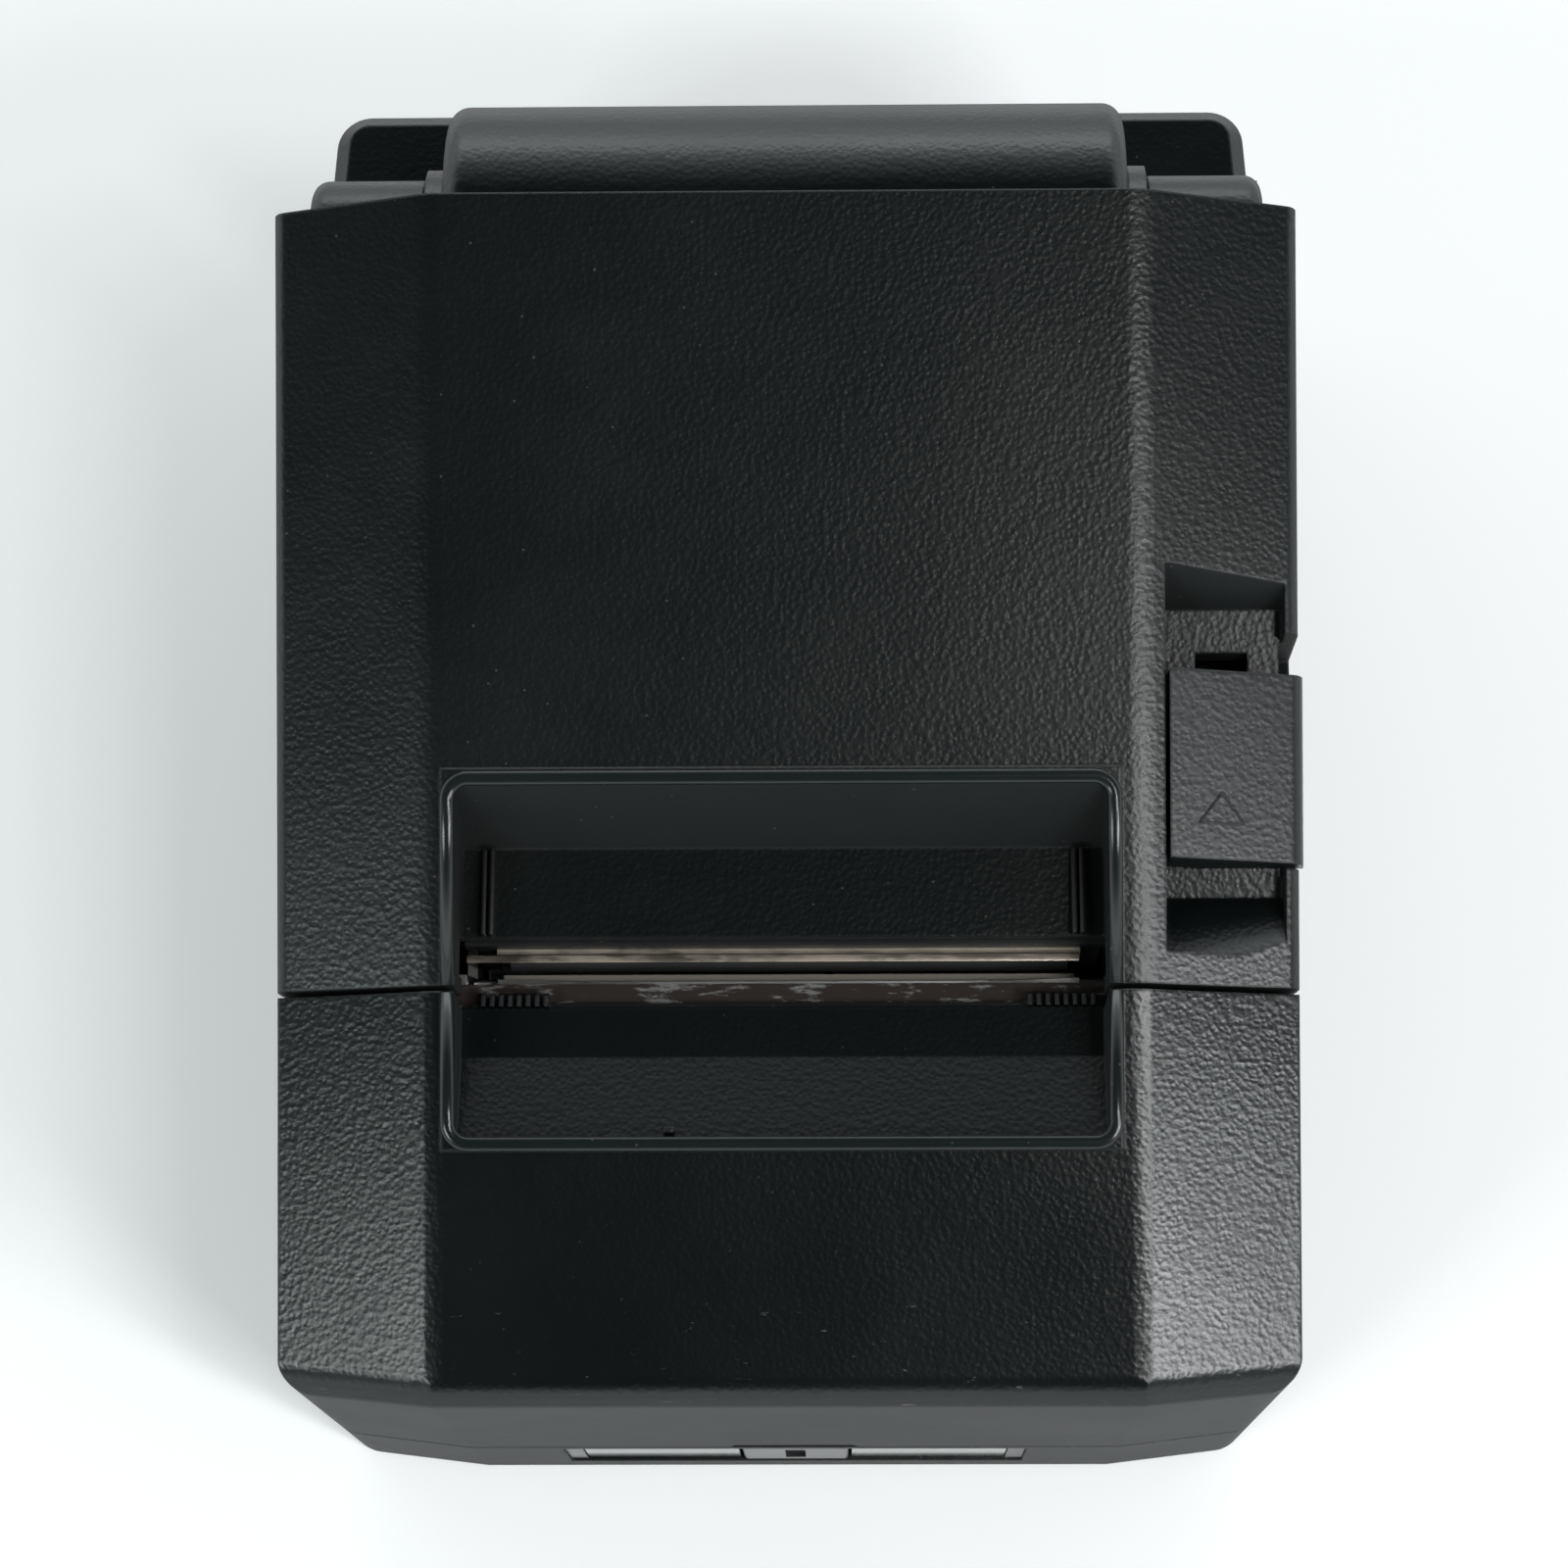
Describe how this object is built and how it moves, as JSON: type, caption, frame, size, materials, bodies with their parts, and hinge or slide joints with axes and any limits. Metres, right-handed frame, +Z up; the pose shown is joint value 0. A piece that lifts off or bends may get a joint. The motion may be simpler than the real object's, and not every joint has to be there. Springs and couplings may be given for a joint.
{
  "type": "receipt printer",
  "caption": "Clamshell thermal receipt printer: hinged creased cover with release lever, platen and blade, print head, cutter, roll well, feed button and rear sockets.",
  "frame": {"origin": "centre of the footprint on the surface the rubber feet stand on", "axes": "+Z up, -Y the front face with the button, +X the side of the release lever"},
  "size_m": [0.1482, 0.204, 0.1375],
  "materials": {
    "black_case": "fine leather-like moulded grain",
    "black_inner": "smooth satin moulding",
    "button_gloss": "glossy",
    "lens": "smoked translucent",
    "steel": "zinc plated sheet",
    "blade_steel": "ground edge, worn",
    "screw_steel": "zinc plated",
    "spring_steel": "drawn wire",
    "rubber": "matte",
    "gear_plastic": "natural acetal",
    "motor_metal": "satin",
    "heatsink": "as extruded",
    "ceramic": "glazed",
    "board_green": "solder mask",
    "component_black": "moulded",
    "socket_dark": "moulded",
    "socket_metal": "tin plated"
  },
  "bodies": {
    "base": {"bay_ends": "black_inner", "board_components": "component_black", "board_screws": "screw_steel", "button_board": "board_green", "case_screws": "screw_steel", "chassis_screws": "screw_steel", "cutter_motor": "motor_metal", "cutter_top_plate": "steel", "data_port": "socket_metal", "drawer_jack": "socket_dark", "feed_motor": "motor_metal", "front_cover": "black_case", "guide_combs": "black_inner", "head_pivot_pin": "steel", "head_springs": "spring_steel", "hinge_pins": "steel", "idler_axle": "steel", "interface_plate": "socket_metal", "latch_studs": "steel", "lower_case": "black_case", "main_board": "board_green", "mech_chassis": "steel", "near_end_sensor": "component_black", "network_port": "socket_dark", "paper_sensor": "component_black", "power_inlet": "socket_dark", "power_switch_body": "component_black", "rear_housing": "black_case", "rocker_pin": "steel", "roll_well": "black_inner", "rubber_feet": "rubber", "status_window_left": "lens", "status_window_right": "lens"},
    "cover": {"top_cover": "black_case", "platen_frame": "black_inner", "platen_bearings": "gear_plastic", "fixed_blade": "blade_steel", "cover_screws": "screw_steel", "latch_spring": "spring_steel"},
    "latch": {"release_lever": "black_inner", "latch_shaft": "steel", "latch_hooks": "black_inner"},
    "platen": {"platen_rubber": "rubber", "platen_shaft": "steel", "platen_gear": "gear_plastic"},
    "idler": {"idler_gear": "gear_plastic"},
    "feed_drive": {"feed_pinion": "gear_plastic"},
    "print_head": {"head_heatsink": "heatsink", "thermal_head": "ceramic"},
    "cutter_blade": {"moving_blade": "blade_steel"},
    "cutter_drive": {"cutter_shaft": "steel"},
    "cutter_motor_drive": {"cutter_pinion": "gear_plastic"},
    "feed_button": {"feed_button": "button_gloss"},
    "power_rocker": {"power_rocker": "component_black"},
    "near_end_lever": {"near_end_lever": "black_inner"}
  },
  "joints": [
    {"name": "cover_hinge", "type": "hinge", "parent": "base", "child": "cover", "pos_m": [0, 0.0682, 0.112], "axis": [-1, 0, 0], "range_deg": [0, 95]},
    {"name": "latch_pivot", "type": "hinge", "parent": "cover", "child": "latch", "pos_m": [0, -0.005, 0.098], "axis": [-1, 0, 0], "range_deg": [0, 12], "stiffness_Nm_per_rad": 0.3, "springref_deg": -20.05},
    {"name": "platen_spin", "type": "hinge", "parent": "cover", "child": "platen", "pos_m": [0, -0.031, 0.088], "axis": [-1, 0, 0], "continuous": true},
    {"name": "idler_spin", "type": "hinge", "parent": "base", "child": "idler", "pos_m": [-0.055, -0.02649, 0.06934], "axis": [-1, 0, 0], "continuous": true},
    {"name": "feed_drive_spin", "type": "hinge", "parent": "base", "child": "feed_drive", "pos_m": [-0.055, -0.03836, 0.05746], "axis": [-1, 0, 0], "continuous": true},
    {"name": "head_pivot", "type": "hinge", "parent": "base", "child": "print_head", "pos_m": [0, -0.0385, 0.07734], "axis": [1, 0, 0], "range_deg": [0, 3], "stiffness_Nm_per_rad": 1.2, "springref_deg": -5.73, "deforming": ["head_springs"]},
    {"name": "blade_slide", "type": "slide", "parent": "base", "child": "cutter_blade", "axis": [0, 1, 0], "range_m": [0, 0.005]},
    {"name": "cutter_shaft_spin", "type": "hinge", "parent": "base", "child": "cutter_drive", "pos_m": [0, -0.055, 0.0879], "axis": [-1, 0, 0], "range_deg": [0, 60]},
    {"name": "cutter_motor_spin", "type": "hinge", "parent": "base", "child": "cutter_motor_drive", "pos_m": [-0.055, -0.06518, 0.07772], "axis": [-1, 0, 0], "range_deg": [-120, 0]},
    {"name": "feed_button_press", "type": "slide", "parent": "base", "child": "feed_button", "axis": [0, 1, 0], "range_m": [0, 0.001], "stiffness_N_per_m": 900, "springref_m": -0.0006},
    {"name": "power_rocker_tilt", "type": "hinge", "parent": "base", "child": "power_rocker", "pos_m": [-0.0695, -0.062, 0.02], "axis": [0, 0, 1], "range_deg": [0, 16]},
    {"name": "near_end_lever_pivot", "type": "hinge", "parent": "base", "child": "near_end_lever", "pos_m": [-0.0483, 0.034, 0.059], "axis": [0, 0, 1], "range_deg": [0, 12], "stiffness_Nm_per_rad": 0.02, "springref_deg": -17.19}
  ],
  "couplings": [
    {"joint": "idler_spin", "follows": "platen_spin", "ratio": -0.6},
    {"joint": "feed_drive_spin", "follows": "platen_spin", "ratio": 1.5},
    {"joint": "cutter_shaft_spin", "follows": "blade_slide", "rad_per_m": 208.33},
    {"joint": "cutter_motor_spin", "follows": "blade_slide", "rad_per_m": -416.67}
  ]
}
